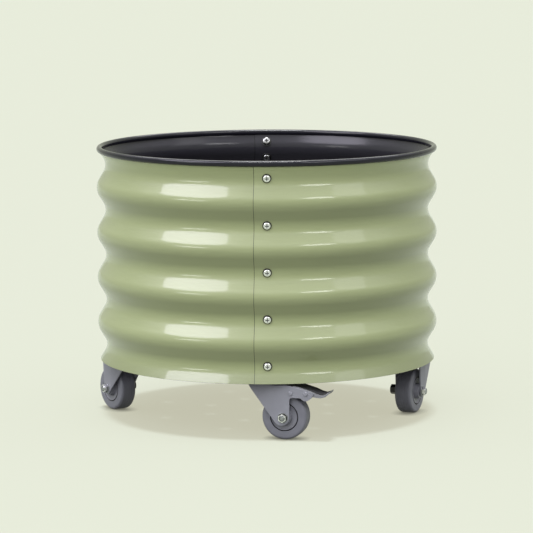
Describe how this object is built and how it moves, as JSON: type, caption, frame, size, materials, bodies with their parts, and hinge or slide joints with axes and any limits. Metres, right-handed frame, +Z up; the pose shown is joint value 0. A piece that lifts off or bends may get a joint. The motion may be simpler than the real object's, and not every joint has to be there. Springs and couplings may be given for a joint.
{
  "type": "rolling planter",
  "caption": "Round corrugated steel planter tub with a rolled rim, on a base pan with swivel casters, some of them with a foot brake.",
  "frame": {"origin": "on the floor under the middle of the tub", "axes": "+Z up, -Y towards the front seam and the front caster, +X to the right seen from the front"},
  "size_m": [0.6105, 0.6166, 0.4838],
  "materials": {
    "wall_paint": "gloss sage green enamel outside, charcoal inside",
    "edging_plastic": "smooth charcoal, soft gloss",
    "base_paint": "satin charcoal powder coat",
    "bright_steel": "bright nickel plate",
    "seal_rubber": "matt black",
    "zinc_steel": "clear zinc plate",
    "fork_coat": "satin grey coat",
    "pedal_coat": "satin dark grey coat",
    "black_steel": "black oxide",
    "hub_plastic": "moulded grey, satin",
    "tyre_rubber": "smooth grey tread, satin"
  },
  "bodies": {
    "tub": {"panel_right": "wall_paint", "panel_left": "wall_paint", "rim_edging": "edging_plastic", "seam_bolts": "bright_steel", "seam_washers": "seal_rubber", "seam_nuts": "bright_steel", "base_pan": "base_paint", "cross_plate": "base_paint", "swivel_bolts": "zinc_steel", "swivel_washers": "zinc_steel", "swivel_nuts": "zinc_steel", "race_cup_front": "zinc_steel", "race_cup_right": "zinc_steel", "race_cup_back": "zinc_steel", "race_cup_left": "zinc_steel", "race_balls_front": "bright_steel", "race_balls_right": "bright_steel", "race_balls_back": "bright_steel", "race_balls_left": "bright_steel"},
    "swivel_front": {"fork_front": "fork_coat", "sleeve_front": "zinc_steel", "axle_bolt_front": "black_steel", "axle_nut_front": "bright_steel", "brake_rivets_front": "fork_coat", "brake_spring_front": "zinc_steel"},
    "wheel_front": {"hub_front": "hub_plastic", "tyre_front": "tyre_rubber"},
    "pedal_front": {"brake_pedal_front": "pedal_coat", "brake_pad_front": "seal_rubber"},
    "swivel_right": {"fork_right": "fork_coat", "sleeve_right": "zinc_steel", "axle_bolt_right": "black_steel", "axle_nut_right": "bright_steel"},
    "wheel_right": {"hub_right": "hub_plastic", "tyre_right": "tyre_rubber"},
    "swivel_back": {"fork_back": "fork_coat", "sleeve_back": "zinc_steel", "axle_bolt_back": "black_steel", "axle_nut_back": "bright_steel", "brake_rivets_back": "fork_coat", "brake_spring_back": "zinc_steel"},
    "wheel_back": {"hub_back": "hub_plastic", "tyre_back": "tyre_rubber"},
    "pedal_back": {"brake_pedal_back": "pedal_coat", "brake_pad_back": "seal_rubber"},
    "swivel_left": {"fork_left": "fork_coat", "sleeve_left": "zinc_steel", "axle_bolt_left": "black_steel", "axle_nut_left": "bright_steel"},
    "wheel_left": {"hub_left": "hub_plastic", "tyre_left": "tyre_rubber"}
  },
  "joints": [
    {"name": "swivel_turn_front", "type": "hinge", "parent": "tub", "child": "swivel_front", "pos_m": [0.005, -0.26201, 0.095], "axis": [0, 0, 1], "continuous": true},
    {"name": "wheel_roll_front", "type": "hinge", "parent": "swivel_front", "child": "wheel_front", "pos_m": [0.03202, -0.26935, 0.04], "axis": [0.2622, 0.965, 0], "continuous": true},
    {"name": "brake_press_front", "type": "hinge", "parent": "swivel_front", "child": "pedal_front", "pos_m": [0.04485, -0.27284, 0.0828], "axis": [0.2622, 0.965, 0], "range_deg": [0, 7]},
    {"name": "swivel_turn_right", "type": "hinge", "parent": "tub", "child": "swivel_right", "pos_m": [0.26701, 0, 0.095], "axis": [0, 0, 1], "continuous": true},
    {"name": "wheel_roll_right", "type": "hinge", "parent": "swivel_right", "child": "wheel_right", "pos_m": [0.25607, -0.02577, 0.04], "axis": [0.9205, -0.3907, 0], "continuous": true},
    {"name": "swivel_turn_back", "type": "hinge", "parent": "tub", "child": "swivel_back", "pos_m": [0.005, 0.26201, 0.095], "axis": [0, 0, 1], "continuous": true},
    {"name": "wheel_roll_back", "type": "hinge", "parent": "swivel_back", "child": "wheel_back", "pos_m": [0.03202, 0.26935, 0.04], "axis": [-0.2622, 0.965, 0], "continuous": true},
    {"name": "brake_press_back", "type": "hinge", "parent": "swivel_back", "child": "pedal_back", "pos_m": [0.04485, 0.27284, 0.0828], "axis": [-0.2622, 0.965, 0], "range_deg": [0, 7]},
    {"name": "swivel_turn_left", "type": "hinge", "parent": "tub", "child": "swivel_left", "pos_m": [-0.25701, 0, 0.095], "axis": [0, 0, 1], "continuous": true},
    {"name": "wheel_roll_left", "type": "hinge", "parent": "swivel_left", "child": "wheel_left", "pos_m": [-0.27279, 0.02313, 0.04], "axis": [-0.8261, -0.5635, 0], "continuous": true}
  ]
}
